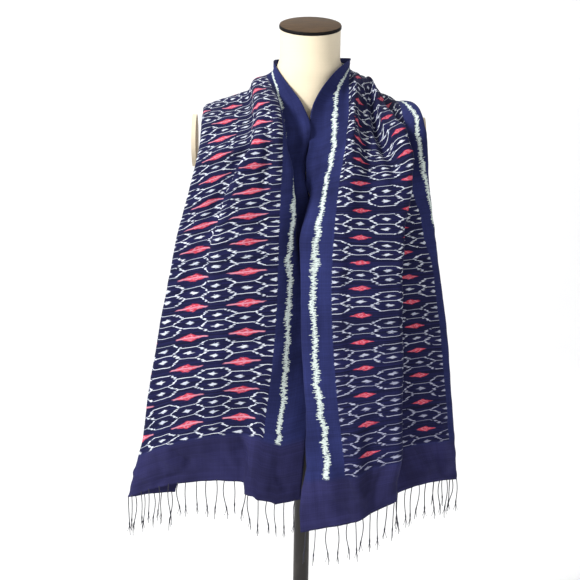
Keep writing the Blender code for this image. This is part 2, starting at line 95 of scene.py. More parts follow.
def calc(tree, operation, *values, clamp=False):
    """A Math node's result."""
    node = tree.nodes.new("ShaderNodeMath")
    node.operation = operation
    node.use_clamp = clamp
    for socket, value in zip(node.inputs, values):
        feed(tree, socket, value)
    return node.outputs[0]


def ramp(tree, value, low, high):
    """Zero at low, one at high, smooth between them."""
    node = tree.nodes.new("ShaderNodeMapRange")
    node.interpolation_type = "SMOOTHSTEP"
    feed(tree, node.inputs["Value"], value)
    feed(tree, node.inputs["From Min"], low)
    feed(tree, node.inputs["From Max"], high)
    return node.outputs["Result"]


def mix_colour(tree, share, first, second, blend="MIX"):
    """A blend of two colours."""
    node = tree.nodes.new("ShaderNodeMix")
    node.data_type = "RGBA"
    node.blend_type = blend
    feed(tree, node.inputs["Factor"], share)
    feed(tree, node.inputs["A"], first)
    feed(tree, node.inputs["B"], second)
    return node.outputs["Result"]


def join_axes(tree, x, y, z=0.0):
    node = tree.nodes.new("ShaderNodeCombineXYZ")
    for socket, value in zip(node.inputs, (x, y, z)):
        feed(tree, socket, value)
    return node.outputs[0]


def cloud(tree, place, scale, detail=2.0):
    """Soft noise between zero and one."""
    node = tree.nodes.new("ShaderNodeTexNoise")
    feed(tree, node.inputs["Vector"], place)
    node.inputs["Scale"].default_value = scale
    node.inputs["Detail"].default_value = detail
    return node.outputs["Fac"]


def dice(tree, number, seed):
    """A random value between zero and one for each whole number."""
    node = tree.nodes.new("ShaderNodeTexWhiteNoise")
    node.noise_dimensions = "1D"
    feed(tree, node.inputs["W"], calc(tree, "ADD", number, seed))
    return node.outputs["Value"]


def dent(tree, height, strength, distance):
    """A bump's normal."""
    node = tree.nodes.new("ShaderNodeBump")
    node.inputs["Strength"].default_value = strength
    node.inputs["Distance"].default_value = distance
    feed(tree, node.inputs["Height"], height)
    return node.outputs["Normal"]


def new_material(name, roughness):
    """A material, its tree and its shader."""
    material = bpy.data.materials.new(name)
    material.use_nodes = True
    shader = material.node_tree.nodes["Principled BSDF"]
    shader.inputs["Roughness"].default_value = roughness
    return material, material.node_tree, shader


def new_group(name, inputs, outputs):
    """A shader node group with float sockets, its entry and its exit."""
    group = bpy.data.node_groups.new(name, "ShaderNodeTree")
    for socket in inputs:
        group.interface.new_socket(socket, in_out="INPUT", socket_type="NodeSocketFloat")
    for socket in outputs:
        group.interface.new_socket(socket, in_out="OUTPUT", socket_type="NodeSocketFloat")
    return group, group.nodes.new("NodeGroupInput"), group.nodes.new("NodeGroupOutput")


def place_group(tree, group, **values):
    node = tree.nodes.new("ShaderNodeGroup")
    node.node_tree = group
    for name, value in values.items():
        feed(tree, node.inputs[name], value)
    return node

# %% [markdown]
# ## How the cloth lies
#
# A place on the cloth has two numbers: s goes across it, from the selvedge at the neck to the outer one, and v
# goes along it, from the hem on the left to the hem on the right. Each row of the table says where the cloth
# crosses one line across its width: the edge of its patterned field, the place where it turns at its outline,
# and which way it faces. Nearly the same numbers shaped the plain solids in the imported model, so the finished
# cloth lies where they are.

# %% The cut and the line of the drape
CLOTH_LENGTH = 2.0
CLOTH_WIDTH = 0.512
FIELD_START = 0.093
SECTION_STEP = 0.002

SECTIONS = (
    # v, inner x, y, z, outer x, y, z, tilt, lean, bulge, lift, border
    (0.000, -0.083, -0.122, 0.575, -0.348, -0.050, 0.528, 0, 0, 18, 0.028, 16),
    (0.116, -0.073, -0.128, 0.719, -0.317, -0.056, 0.652, 0, 0, 18, 0.020, 20),
    (0.222, -0.061, -0.142, 0.839, -0.292, -0.066, 0.786, 0, 0, 18, 0.012, 20),
    (0.328, -0.055, -0.144, 0.953, -0.271, -0.074, 0.911, 0, 0, 18, 0.008, 20),
    (0.434, -0.053, -0.152, 1.072, -0.252, -0.084, 1.024, 0, 0, 18, 0.006, 20),
    (0.540, -0.050, -0.156, 1.172, -0.232, -0.096, 1.108, 0, 0, 20, 0.006, 20),
    (0.646, -0.049, -0.150, 1.254, -0.209, -0.104, 1.194, 15, 0, 20, 0.004, 18),
    (0.700, -0.052, -0.130, 1.286, -0.203, -0.094, 1.226, 30, -2, 16, 0.000, 10),
    (0.752, -0.058, -0.107, 1.315, -0.200, -0.080, 1.260, 45, -5, 8, -0.003, 0),
    (0.805, -0.070, -0.062, 1.338, -0.200, -0.040, 1.284, 68, -8, 4, -0.004, -30),
    (0.860, -0.079, -0.004, 1.361, -0.194, 0.016, 1.290, 95, -10, 10, 0.000, -60),
    (0.940, -0.032, 0.086, 1.366, -0.118, 0.140, 1.212, 135, -10, 36, 0.000, -36),
    (1.040, 0.072, 0.030, 1.376, 0.050, 0.150, 1.206, 120, 20, 50, 0.004, -20),
    (1.089, 0.074, -0.028, 1.350, 0.128, 0.122, 1.274, 92, 30, 54, 0.002, -8),
    (1.142, 0.073, -0.074, 1.309, 0.178, 0.074, 1.306, 75, 34, 44, -0.022, -10),
    (1.195, 0.071, -0.108, 1.278, 0.207, 0.002, 1.305, 62, 26, 28, -0.034, -5),
    (1.248, 0.067, -0.134, 1.246, 0.219, -0.048, 1.266, 46, 15, 26, -0.028, -8),
    (1.301, 0.061, -0.149, 1.210, 0.222, -0.066, 1.224, 30, 6, 22, -0.020, 6),
    (1.354, 0.055, -0.157, 1.171, 0.224, -0.078, 1.182, 15, 0, 22, -0.010, 17),
    (1.460, 0.048, -0.156, 1.075, 0.238, -0.070, 1.090, 0, 0, 20, 0.000, 22),
    (1.566, 0.046, -0.156, 0.975, 0.254, -0.065, 0.993, 0, 0, 20, 0.006, 22),
    (1.672, 0.051, -0.156, 0.870, 0.270, -0.060, 0.896, 0, 0, 20, 0.010, 20),
    (1.778, 0.061, -0.156, 0.765, 0.282, -0.055, 0.798, 0, 0, 20, 0.014, 20),
    (1.884, 0.076, -0.156, 0.648, 0.295, -0.050, 0.687, 0, 0, 20, 0.018, 21),
    (2.000, 0.086, -0.158, 0.521, 0.306, -0.050, 0.576, 0, 0, 20, 0.026, 22),
)

# %% [markdown]
# ## Folds
#
# A fold turns the cloth's heading by an angle between two places across it. Each table follows one fold along
# the scarf: the turned back flaps at the outer edges, the collar's rolls at the neck, the pleat that falls from
# each shoulder and the swags over the back.

# %% Folds at the outline and the collar
OUTER_TURN = (
    # v, from s, to s, degrees
    (0.000, 0.398, 0.60, -125),
    (0.116, 0.366, 0.60, -148),
    (0.222, 0.338, 0.60, -160),
    (0.434, 0.312, 0.60, -162),
    (0.646, 0.318, 0.60, -160),
    (0.752, 0.330, 0.60, -160),
    (0.840, 0.384, 0.60, -166),
    (0.940, 0.440, 0.60, -110),
    (1.040, 0.490, 0.60, -110),
    (1.142, 0.490, 0.60, -125),
    (1.195, 0.490, 0.60, -130),
    (1.248, 0.488, 0.60, -135),
    (1.354, 0.470, 0.60, -125),
    (1.460, 0.455, 0.60, -125),
    (1.566, 0.441, 0.60, -120),
    (2.000, 0.441, 0.60, -120),
)
NECK_BAND = (
    (0.000, -0.10, 0.010, 0),
    (0.116, -0.10, 0.030, 5),
    (0.222, -0.10, 0.038, 12),
    (0.434, -0.10, 0.042, 15),
    (0.540, -0.10, 0.044, 0),
    (1.142, -0.10, 0.030, -25),
    (1.248, -0.10, 0.030, -10),
    (1.460, -0.10, 0.030, 110),
    (1.566, -0.10, 0.031, 145),
    (1.778, -0.10, 0.029, 140),
    (1.884, -0.10, 0.020, 90),
    (2.000, -0.10, 0.010, 0),
)
COLLAR_RETURN = (
    (0.328, 0.024, 0.044, 0),
    (0.434, 0.030, 0.050, 80),
    (0.540, 0.040, 0.065, 138),
    (0.646, 0.062, 0.081, 160),
    (0.805, 0.062, 0.088, 160),
    (0.900, 0.056, 0.084, 0),
    (1.040, 0.036, 0.060, 0),
    (1.142, 0.032, 0.060, 36),
    (1.248, 0.034, 0.060, 30),
    (1.354, 0.036, 0.060, 20),
    (1.460, 0.036, 0.060, 0),
)
LEFT_BORDER_ROLL = (
    (0.116, 0.030, 0.088, 0),
    (0.222, 0.036, 0.088, 25),
    (0.434, 0.044, 0.088, 28),
    (0.540, 0.060, 0.088, 0),
)
LEFT_HEM_STEP = (
    (0.000, 0.112, 0.134, -75),
    (0.116, 0.112, 0.134, -40),
    (0.222, 0.112, 0.134, 0),
)

# %% Folds from the shoulders and over the back
SHOULDER_PLEAT = (
    (0.222, 0.222, 0.234, 0),
    (0.328, 0.218, 0.234, -40),
    (0.434, 0.212, 0.232, -75),
    (0.540, 0.200, 0.222, -105),
    (0.594, 0.186, 0.208, -110),
    (0.646, 0.162, 0.184, -115),
    (0.752, 0.158, 0.182, -120),
    (0.860, 0.158, 0.184, -105),
    (0.940, 0.176, 0.206, -60),
    (1.040, 0.176, 0.206, 0),
)
BACK_SWAG_IN = (
    (0.860, 0.260, 0.300, 0),
    (0.940, 0.260, 0.310, -75),
    (1.040, 0.250, 0.300, -80),
    (1.142, 0.255, 0.305, -30),
    (1.195, 0.260, 0.310, 0),
)
BACK_SWAG_OUT = (
    (0.860, 0.310, 0.350, 0),
    (0.940, 0.330, 0.375, 60),
    (1.040, 0.320, 0.365, 65),
    (1.142, 0.340, 0.385, 50),
    (1.248, 0.345, 0.385, 25),
    (1.354, 0.345, 0.385, 0),
)
COWL_RIDGE_UP = (
    (1.040, 0.096, 0.120, 0),
    (1.142, 0.096, 0.121, 75),
    (1.248, 0.096, 0.121, 80),
    (1.354, 0.096, 0.120, 55),
    (1.460, 0.098, 0.118, 20),
    (1.566, 0.098, 0.118, 0),
    (1.778, 0.098, 0.118, 0),
    (1.884, 0.096, 0.118, 45),
    (2.000, 0.094, 0.120, 30),
)
COWL_RIDGE_DOWN = (
    (1.040, 0.126, 0.156, 0),
    (1.142, 0.126, 0.156, -75),
    (1.248, 0.126, 0.156, -80),
    (1.354, 0.126, 0.154, -55),
    (1.460, 0.130, 0.156, -20),
    (1.566, 0.130, 0.150, 0),
    (1.778, 0.128, 0.148, 0),
    (1.884, 0.126, 0.148, -45),
    (2.000, 0.130, 0.156, -30),
)
DEEP_PLEAT = (
    (1.089, 0.285, 0.315, 0),
    (1.142, 0.285, 0.330, -70),
    (1.195, 0.285, 0.352, -125),
    (1.248, 0.283, 0.365, -150),
    (1.301, 0.276, 0.360, -155),
    (1.354, 0.264, 0.346, -155),
    (1.460, 0.243, 0.310, -158),
    (1.566, 0.232, 0.290, -160),
    (1.672, 0.227, 0.282, -160),
    (1.884, 0.219, 0.268, -150),
    (2.000, 0.219, 0.254, -80),
)
FOLDS = (OUTER_TURN, NECK_BAND, COLLAR_RETURN, SHOULDER_PLEAT, BACK_SWAG_IN, BACK_SWAG_OUT,
         COWL_RIDGE_UP, COWL_RIDGE_DOWN, DEEP_PLEAT, LEFT_BORDER_ROLL, LEFT_HEM_STEP)

# %% [markdown]
# Five more tables change slowly along the scarf: how softly a fold turns, how much lower the flap's edge hangs,
# how much the border is gathered round the neck, how far it swings toward the V in front, and how far the cowl
# sags beside its deep pleat.

# %% Slow changes along the scarf
FOLD_SOFTNESS = (
    (0.000, 0.018),
    (0.222, 0.017),
    (0.434, 0.015),
    (0.646, 0.018),
    (0.752, 0.025),
    (0.840, 0.030),
    (1.040, 0.026),
    (1.354, 0.022),
    (1.566, 0.015),
)
FLAP_DROP = (
    (0.000, 0.046),
    (0.222, 0.000),
)
BORDER_GATHER = (
    (0.646, 1.00),
    (0.752, 0.80),
    (0.840, 0.34),
    (0.940, 0.26),
    (1.040, 0.20),
    (1.089, 0.48),
    (1.142, 0.80),
    (1.248, 0.86),
    (1.301, 0.84),
    (1.354, 0.92),
    (1.460, 1.00),
)
BORDER_SWING = (
    (0.940, 0),
    (1.040, -10),
    (1.142, -42),
    (1.195, -28),
    (1.248, -22),
    (1.301, -15),
    (1.354, -12),
    (1.460, 0),
)
PLEAT_SAG = (
    # v, from s, lowest s, to s, depth
    (1.040, 0.150, 0.205, 0.245, 0.000),
    (1.089, 0.150, 0.205, 0.245, 0.009),
    (1.142, 0.150, 0.205, 0.245, 0.016),
    (1.195, 0.150, 0.208, 0.248, 0.021),
    (1.248, 0.150, 0.212, 0.252, 0.022),
    (1.301, 0.140, 0.216, 0.262, 0.010),
    (1.354, 0.110, 0.230, 0.300, 0.003),
    (1.460, 0.093, 0.236, 0.300, 0.008),
    (1.778, 0.093, 0.224, 0.276, 0.009),
    (2.000, 0.093, 0.216, 0.260, 0.004),
)

# %% [markdown]
# ## From the tables to points
#
# Between its rows a table is read on a smooth curve, so that the cloth has no kinks along its length. A fold's
# angle is eased instead, so that it never swings past its own rows.

# %% Read the tables
def smoothstep(t):
    t = np.clip(t, 0.0, 1.0)
    return t * t * (3 - 2 * t)


def row_before(rows, v):
    keys = [row[0] for row in rows]
    return min(max(bisect.bisect_right(keys, v) - 1, 0), len(rows) - 2)


def along(rows, v):
    """A table's other columns at v, on a smooth curve through its rows."""
    v = min(max(v, rows[0][0]), rows[-1][0])
    i = row_before(rows, v)
    before, start, end, after = (
        np.array(rows[k], float) for k in (max(i - 1, 0), i, i + 1, min(i + 2, len(rows) - 1))
    )
    span = end[0] - start[0]
    t = (v - start[0]) / span
    rise_in = (end - before) / (end[0] - before[0]) * span
    rise_out = (after - start) / (after[0] - start[0]) * span
    values = (
        (2 * t**3 - 3 * t**2 + 1) * start
        + (t**3 - 2 * t**2 + t) * rise_in
        + (3 * t**2 - 2 * t**3) * end
        + (t**3 - t**2) * rise_out
    )
    return values[1:]


def fold_at(rows, v):
    """A fold's two places and its angle at v, eased between the rows."""
    v = min(max(v, rows[0][0]), rows[-1][0])
    i = row_before(rows, v)
    t = smoothstep((v - rows[i][0]) / (rows[i + 1][0] - rows[i][0]))
    start, end = np.array(rows[i][1:], float), np.array(rows[i + 1][1:], float)
    return start + (end - start) * t

# %% [markdown]
# A section is the cloth's line across its width. It is walked in short steps, each turned by the sum of the
# folds there. Then the line is swung and sized to pass through the section's two given points.

# %% One section of the cloth
SECTION_PLACES = np.arange(round(CLOTH_WIDTH / SECTION_STEP) + 1) * SECTION_STEP


def on_line(line, s):
    return np.array([np.interp(s, SECTION_PLACES, line[:, axis]) for axis in range(line.shape[1])])


def section_points(v):
    """The cloth's line across its width at one v, as a row of points."""
    row = along(SECTIONS, v)
    inner, outer = row[0:3], row[3:6]
    tilt, lean, bulge, lift, border = row[6:]
    turn = fold_at(OUTER_TURN, v)[0]
    soft = along(FOLD_SOFTNESS, v)[0]

    middles = SECTION_PLACES[:-1] + SECTION_STEP / 2
    share = np.clip((middles - FIELD_START) / (turn - FIELD_START), 0, 1)
    field = smoothstep((middles - FIELD_START) / (2 * soft) + 0.5)
    heading = border * (1 - field) + bulge * (1 - 2 * share) * field
    for rows in FOLDS:
        start, end, angle = fold_at(rows, v)
        rise = smoothstep((middles - start) / (2 * soft) + 0.5)
        fall = smoothstep((middles - end) / (2 * soft) + 0.5)
        heading = heading + angle * (rise - fall)
    heading = np.radians(heading)
    steps = np.column_stack((np.cos(heading), np.sin(heading))) * SECTION_STEP
    line = np.vstack(((0.0, 0.0), np.cumsum(steps, axis=0)))

    field_edge = on_line(line, FIELD_START)
    chord = on_line(line, turn) - field_edge
    span = np.linalg.norm(outer - inner)
    swing = math.atan2(chord[1], chord[0])
    line = line - field_edge
    ahead = line[:, 0] * math.cos(swing) + line[:, 1] * math.sin(swing)
    aside = line[:, 1] * math.cos(swing) - line[:, 0] * math.sin(swing)
    in_border = SECTION_PLACES <= FIELD_START
    size = np.where(in_border, along(BORDER_GATHER, v)[0], span / np.linalg.norm(chord))
    ahead, aside = ahead * size, aside * size

    forward = (outer - inner) / span
    tilt, lean = math.radians(tilt), math.radians(lean)
    up = np.array((math.sin(lean), -math.cos(tilt) * math.cos(lean), math.sin(tilt) * math.cos(lean)))
    up = up - forward * (up @ forward)
    up = up / np.linalg.norm(up)
    offsets = np.outer(ahead, forward) + np.outer(aside, up)
    border_swing = np.array(Matrix.Rotation(math.radians(along(BORDER_SWING, v)[0]), 3, "Z"))
    offsets[in_border] = offsets[in_border] @ border_swing.T
    points = inner + offsets
    share = np.clip(ahead / span, 0, 1)
    behind = np.clip((SECTION_PLACES - turn) / (CLOTH_WIDTH - turn), 0, None)
    start, lowest, end, depth = fold_at(PLEAT_SAG, v)
    sag = depth * smoothstep(np.interp(SECTION_PLACES, (start, lowest, end), (0, 1, 0)))
    points[:, 2] += lift * 4 * share * (1 - share) - along(FLAP_DROP, v)[0] * behind - sag
    return points

# %% [markdown]
# ## The cloth as a grid
#
# The sheet is a grid of points. The number of columns and rows keeps the whole piece under 200,000 triangles
# with both its skins. The direction square to the cloth comes from the differences between neighbouring points.

# %% Grid of points
COLUMNS = 124
ROWS = 384

across_places = np.linspace(0, CLOTH_WIDTH, COLUMNS + 1)
along_places = np.linspace(0, CLOTH_LENGTH, ROWS + 1)
middle = np.array([on_line(section_points(v), across_places).T for v in along_places])


def square_to(grid):
    """Directions square to a grid of points, toward the cloth's right side."""
    across = np.gradient(grid, axis=1)
    lengthwise = np.gradient(grid, axis=0)
    outward = -np.cross(across, lengthwise)
    return outward / np.linalg.norm(outward, axis=2, keepdims=True)


print("cloth grid:", middle.shape)

# %% [markdown]
# ## Soft creases
#
# A hanging scarf has smaller creases between its folds. Each row here is one crease, drawn on the cloth as a
# straight stroke between two places, with its half width and its height in metres: a ridge is positive, a
# trough negative. Strokes fade toward their ends.

# %% Crease table
CREASES = (
    # from v, s, to v, s, half width, height
    # the left front
    (0.360, 0.180, 0.060, 0.210, 0.018, 0.0040),
    (0.420, 0.320, 0.100, 0.350, 0.014, 0.0040),
    (0.470, 0.258, 0.310, 0.276, 0.018, -0.0035),
    (0.540, 0.250, 0.300, 0.300, 0.015, 0.0025),
    (0.640, 0.118, 0.380, 0.128, 0.022, -0.0025),
    (0.590, 0.216, 0.447, 0.263, 0.016, -0.0045),
    (0.740, 0.126, 0.500, 0.122, 0.009, -0.0045),
    (0.672, 0.180, 0.570, 0.224, 0.014, -0.0045),
    (0.760, 0.104, 0.520, 0.100, 0.009, 0.0050),
    (0.790, 0.118, 0.560, 0.132, 0.016, 0.0040),
    (0.800, 0.150, 0.610, 0.170, 0.010, -0.0040),
    # the border at the V
    (0.560, 0.020, 0.120, 0.030, 0.012, 0.0035),
    (0.700, 0.034, 0.420, 0.018, 0.008, -0.0035),
    (0.780, 0.012, 0.500, 0.008, 0.006, 0.0030),
    (0.860, 0.020, 0.560, 0.026, 0.007, -0.0025),
    (0.850, 0.046, 0.600, 0.042, 0.007, 0.0020),
    (1.220, 0.020, 1.560, 0.030, 0.010, 0.0035),
    (1.260, 0.050, 1.700, 0.078, 0.009, -0.0030),
    # over the shoulders and the back
    (0.880, 0.130, 1.120, 0.140, 0.011, -0.0040),
    (0.900, 0.470, 1.140, 0.460, 0.010, -0.0030),
    (0.900, 0.210, 1.150, 0.200, 0.012, 0.0040),
    (0.900, 0.300, 1.180, 0.290, 0.012, -0.0035),
    (0.920, 0.420, 1.160, 0.410, 0.014, 0.0040),
    (1.060, 0.236, 1.260, 0.240, 0.006, 0.0045),
    # the right front
    (1.060, 0.170, 1.300, 0.196, 0.006, 0.0045),
    (1.080, 0.208, 1.320, 0.214, 0.006, -0.0045),
    (1.100, 0.134, 1.360, 0.136, 0.006, -0.0045),
    (1.150, 0.300, 1.330, 0.330, 0.012, 0.0040),
    (1.100, 0.112, 1.400, 0.112, 0.006, 0.0045),
    (1.100, 0.190, 1.400, 0.206, 0.010, 0.0045),
    (1.120, 0.222, 1.380, 0.226, 0.010, -0.0045),
    (1.150, 0.400, 1.360, 0.410, 0.014, -0.0040),
    (1.140, 0.120, 1.380, 0.150, 0.010, 0.0035),
    (1.120, 0.150, 1.420, 0.182, 0.011, -0.0045),
    (1.180, 0.440, 1.420, 0.450, 0.008, 0.0035),
    (1.300, 0.340, 1.560, 0.346, 0.014, 0.0035),
    (1.390, 0.128, 1.600, 0.128, 0.014, -0.0035),
    (1.420, 0.110, 1.800, 0.108, 0.010, 0.0040),
    (1.500, 0.180, 1.760, 0.190, 0.020, 0.0030),
    # the left hem
    (0.020, 0.258, 0.010, 0.335, 0.008, -0.0050),
    (0.050, 0.060, 0.010, 0.020, 0.006, -0.0040),
    (0.060, 0.390, 0.005, 0.320, 0.007, 0.0045),
    (0.053, 0.254, 0.018, 0.260, 0.008, -0.0050),
    (0.080, 0.070, 0.005, 0.080, 0.012, 0.0035),
    (0.070, 0.240, 0.020, 0.160, 0.007, 0.0040),
    (0.085, 0.300, 0.010, 0.230, 0.006, -0.0045),
    (0.090, 0.180, 0.010, 0.150, 0.012, 0.0040),
    (0.090, 0.150, 0.015, 0.110, 0.006, -0.0045),
    (0.110, 0.290, 0.020, 0.300, 0.012, 0.0040),
    (0.100, 0.350, 0.030, 0.270, 0.007, 0.0045),
    (0.150, 0.340, 0.000, 0.372, 0.012, -0.0030),
    # the right hem
    (1.720, 0.330, 2.000, 0.340, 0.014, -0.0040),
    (1.780, 0.400, 2.000, 0.402, 0.013, 0.0040),
    (1.800, 0.160, 2.000, 0.150, 0.014, -0.0035),
    (1.820, 0.205, 2.000, 0.205, 0.014, 0.0045),
    (1.840, 0.062, 2.000, 0.066, 0.012, 0.0045),
    (1.880, 0.030, 1.990, 0.044, 0.008, -0.0035),
    (1.900, 0.100, 1.990, 0.150, 0.007, 0.0045),
    (1.900, 0.320, 1.990, 0.350, 0.008, 0.0045),
    (1.910, 0.180, 1.990, 0.160, 0.008, -0.0045),
    (1.920, 0.370, 1.995, 0.390, 0.007, -0.0040),
    (1.930, 0.040, 1.995, 0.110, 0.007, -0.0045),
)

# %% [markdown]
# Besides the drawn creases, all of the cloth has a slight uneven wave, stronger in the plain bands at the hems,
# where the real cloth is crumpled. The corner of the left hem beside the V has also slipped down, with a short
# step where it leaves the rest.

# %% Move the grid along its own directions
WAVE_HEIGHT = 0.0009
HEM_CRUMPLE = 0.0026
HEM_BAND = 0.090
CORNER_SLIPS = (
    # reach along, places across, amounts there
    (0.30, (0.050, 0.093, 0.102), (0.036, 0.008, 0.000)),
    (0.10, (0.060, 0.093, 0.124, 0.136), (0.004, 0.014, 0.019, 0.000)),
)
CORNER_ASIDE = 0.3

width_grid, length_grid = np.meshgrid(across_places, along_places)


def stroke(from_v, from_s, to_v, to_s, half_width, height):
    """The height of one crease all over the cloth."""
    run = np.array((to_v - from_v, to_s - from_s))
    length = np.linalg.norm(run)
    run = run / length
    reach = (length_grid - from_v) * run[0] + (width_grid - from_s) * run[1]
    aside = (width_grid - from_s) * run[0] - (length_grid - from_v) * run[1]
    fade = smoothstep(reach / (0.3 * length)) * smoothstep((length - reach) / (0.3 * length))
    return height * fade * np.exp(-(aside / half_width) ** 2)


def wave(v, s, coarse, seed):
    return noise.noise(Vector((s * coarse, v * coarse, seed)))


relief = sum(stroke(*row) for row in CREASES)
for i, v in enumerate(along_places):
    near_hem = float(smoothstep(1.3 - min(v, CLOTH_LENGTH - v) / HEM_BAND))
    for j, s in enumerate(across_places):
        relief[i, j] += WAVE_HEIGHT * (wave(v * 0.6, s, 22, 3.1) + wave(v, s, 46, 7.7))
        if near_hem > 0:
            relief[i, j] += HEM_CRUMPLE * near_hem * wave(v * 1.4, s, 34, 1.9)

middle = middle + square_to(middle) * relief[:, :, None]

slip = np.zeros_like(length_grid)
for reach, places, amounts in CORNER_SLIPS:
    slip += np.interp(width_grid, places, amounts) * smoothstep((reach - length_grid) / reach)
middle[:, :, 2] -= slip
middle[:, :, 0] -= slip * CORNER_ASIDE
print("relief in mm:", round(relief.min() * 1000, 1), "to", round(relief.max() * 1000, 1))

# %% [markdown]
# ## The sheet
#
# Blender's grid gives the faces. Each vertex remembers its row and column, and is moved to its place on the
# cloth. Extruding the whole region makes the second skin and the narrow selvedges, so the wall is closed.
# The UV map holds s and v in metres, so the woven pattern can be drawn at its true size.

# %% Build the sheet
WALL = 0.0008


def make_sheet(name):
    bm = bmesh.new()
    bmesh.ops.create_grid(bm, x_segments=COLUMNS, y_segments=ROWS, size=1)
    column_layer = bm.verts.layers.int.new("column")
    row_layer = bm.verts.layers.int.new("row")
    for vert in bm.verts:
        vert[column_layer] = round((vert.co.x + 1) / 2 * COLUMNS)
        vert[row_layer] = round((vert.co.y + 1) / 2 * ROWS)
    front = list(bm.verts)
    made = bmesh.ops.extrude_face_region(bm, geom=list(bm.faces))
    back = [item for item in made["geom"] if isinstance(item, bmesh.types.BMVert)]
    outward = square_to(middle)
    for verts, side in ((front, 0.5), (back, -0.5)):
        skin = middle + outward * WALL * side
        for vert in verts:
            vert.co = skin[vert[row_layer], vert[column_layer]]
    bmesh.ops.recalc_face_normals(bm, faces=bm.faces)
    cloth_map = bm.loops.layers.uv.new("cloth")
    for face in bm.faces:
        face.smooth = True
        for loop in face.loops:
            column, row = loop.vert[column_layer], loop.vert[row_layer]
            loop[cloth_map].uv = (across_places[column], along_places[row])
    mesh = bpy.data.meshes.new(name)
    bm.to_mesh(mesh)
    bm.free()
    piece = bpy.data.objects.new(name, mesh)
    bpy.context.scene.collection.objects.link(piece)
    return piece


scarf = make_sheet("scarf_cloth")
print("scarf faces:", len(scarf.data.polygons))

# %% [markdown]
# ## The ikat pattern
#
# In weft ikat the threads that cross the cloth are bound and dyed before weaving. The pattern is charted
# here, as a weaver would: one repeat is 108 mm across and 53 mm along. White lines make a lattice of long
# hexagons, two rows high, with a small white lozenge in each cell. Between the rows of cells stand red lozenges,
# larger on the left half of the scarf.
#
# Dyed threads never line up exactly when they are woven. So each weft thread is shifted by its own small
# random amount, which gives all shapes their feathered edges.
#
# The chart is folded onto one quarter of the repeat, so x and y below are distances from its middle.

# %% White threads
REPEAT_ACROSS = 0.108
REPEAT_ALONG = 0.053
FIRST_ROW = 0.090
FIRST_COLUMN = 0.148
CELL_HEIGHT = 0.019
FLAT_HALF = 0.0165
SLANT = 0.0205
LINE_HALF = 0.0004
LINE_GAIN = 0.0032


def lozenge(tree, x, y, half_width, half_height, sharp):
    """Below one inside a pointed lozenge."""
    wide = calc(tree, "POWER", calc(tree, "DIVIDE", x, half_width), sharp)
    return calc(tree, "ADD", wide, calc(tree, "DIVIDE", y, half_height))


def white_threads(tree, x, y, luck):
    """The lattice of hexagons, thicker where it slants, and the lozenge in each cell."""
    climb = calc(tree, "DIVIDE", calc(tree, "SUBTRACT", x, FLAT_HALF), SLANT, clamp=True)
    slanting = calc(tree, "MULTIPLY", climb, calc(tree, "SUBTRACT", 1.0, climb))
    half_line = calc(tree, "ADD", calc(tree, "MULTIPLY", slanting, LINE_GAIN), LINE_HALF)
    half_line = calc(tree, "MULTIPLY", half_line, calc(tree, "ADD", calc(tree, "MULTIPLY", luck, 0.6), 0.7))
    white = 0.0
    for way in (CELL_HEIGHT / 2, -CELL_HEIGHT / 2):
        level = calc(tree, "ADD", calc(tree, "MULTIPLY", climb, way), CELL_HEIGHT / 2)
        gap = calc(tree, "ABSOLUTE", calc(tree, "SUBTRACT", y, level))
        gap = calc(tree, "SUBTRACT", gap, half_line)
        white = calc(tree, "MAXIMUM", white, ramp(tree, gap, 0.0004, -0.0003))

    x_other = calc(tree, "SUBTRACT", REPEAT_ACROSS / 2, x)
    y_other = calc(tree, "ABSOLUTE", calc(tree, "SUBTRACT", y, CELL_HEIGHT / 2))
    for x_off, y_off in ((x, y), (x_other, y_other)):
        inside = lozenge(tree, x_off, y_off, 0.0108, 0.0040, 0.80)
        white = calc(tree, "MAXIMUM", white, calc(tree, "MULTIPLY", ramp(tree, inside, 1.08, 0.72), 0.9))
    return white

# %% [markdown]
# The red lozenges have rings of paler threads in them. On the left half of the scarf their tips run out into
# thin pale whiskers.

# %% Red threads
RED_HALF_WIDTH = 0.0285
RED_HALF_HEIGHT = 0.0074
RED_NARROWER = 0.0070
RED_LOWER = 0.0020


def red_threads(tree, x, y, lengthwise, luck, other_luck):
    """The red lozenges, and the share of pale threads in them."""
    small = ramp(tree, lengthwise, 0.9, 1.1)
    half_width = calc(tree, "SUBTRACT", RED_HALF_WIDTH, calc(tree, "MULTIPLY", small, RED_NARROWER))
    half_height = calc(tree, "SUBTRACT", RED_HALF_HEIGHT, calc(tree, "MULTIPLY", small, RED_LOWER))
    inside = lozenge(tree, x, y, half_width, half_height, 0.90)
    red = ramp(tree, inside, 1.06, 0.90)
    ring = calc(tree, "PINGPONG", calc(tree, "ADD", inside, calc(tree, "MULTIPLY", other_luck, 0.20)), 0.24)
    pale = calc(tree, "MULTIPLY", red, calc(tree, "MULTIPLY", ramp(tree, ring, 0.15, 0.22), 0.85))
    whisker = calc(tree, "SUBTRACT", y, calc(tree, "MULTIPLY", luck, 0.0006))
    whisker = calc(tree, "MULTIPLY", ramp(tree, whisker, 0.0012, 0.0006), ramp(tree, x, 0.0350, 0.0300))
    whisker = calc(tree, "MULTIPLY", whisker, calc(tree, "SUBTRACT", 1.0, small))
    red = calc(tree, "MAXIMUM", red, calc(tree, "MULTIPLY", whisker, 0.8))
    return red, calc(tree, "MAXIMUM", pale, calc(tree, "MULTIPLY", whisker, 0.7))

# %% [markdown]
# A ragged white zigzag runs along each selvedge. It swings a little with each repeat, strays slowly, and makes
# one longer detour on the left front. Dark flecks show where the dye crept under the bindings.

# %% Zigzag
ZIGZAG_PLACE = 0.058
ZIGZAG_HALF = 0.0058
ZIGZAG_SWING = 0.16
ZIGZAG_STRAY = 0.026
ZIGZAG_DETOUR = 0.011
DETOUR_STARTS = (0.10, 0.30)
DETOUR_ENDS = (0.54, 0.38)


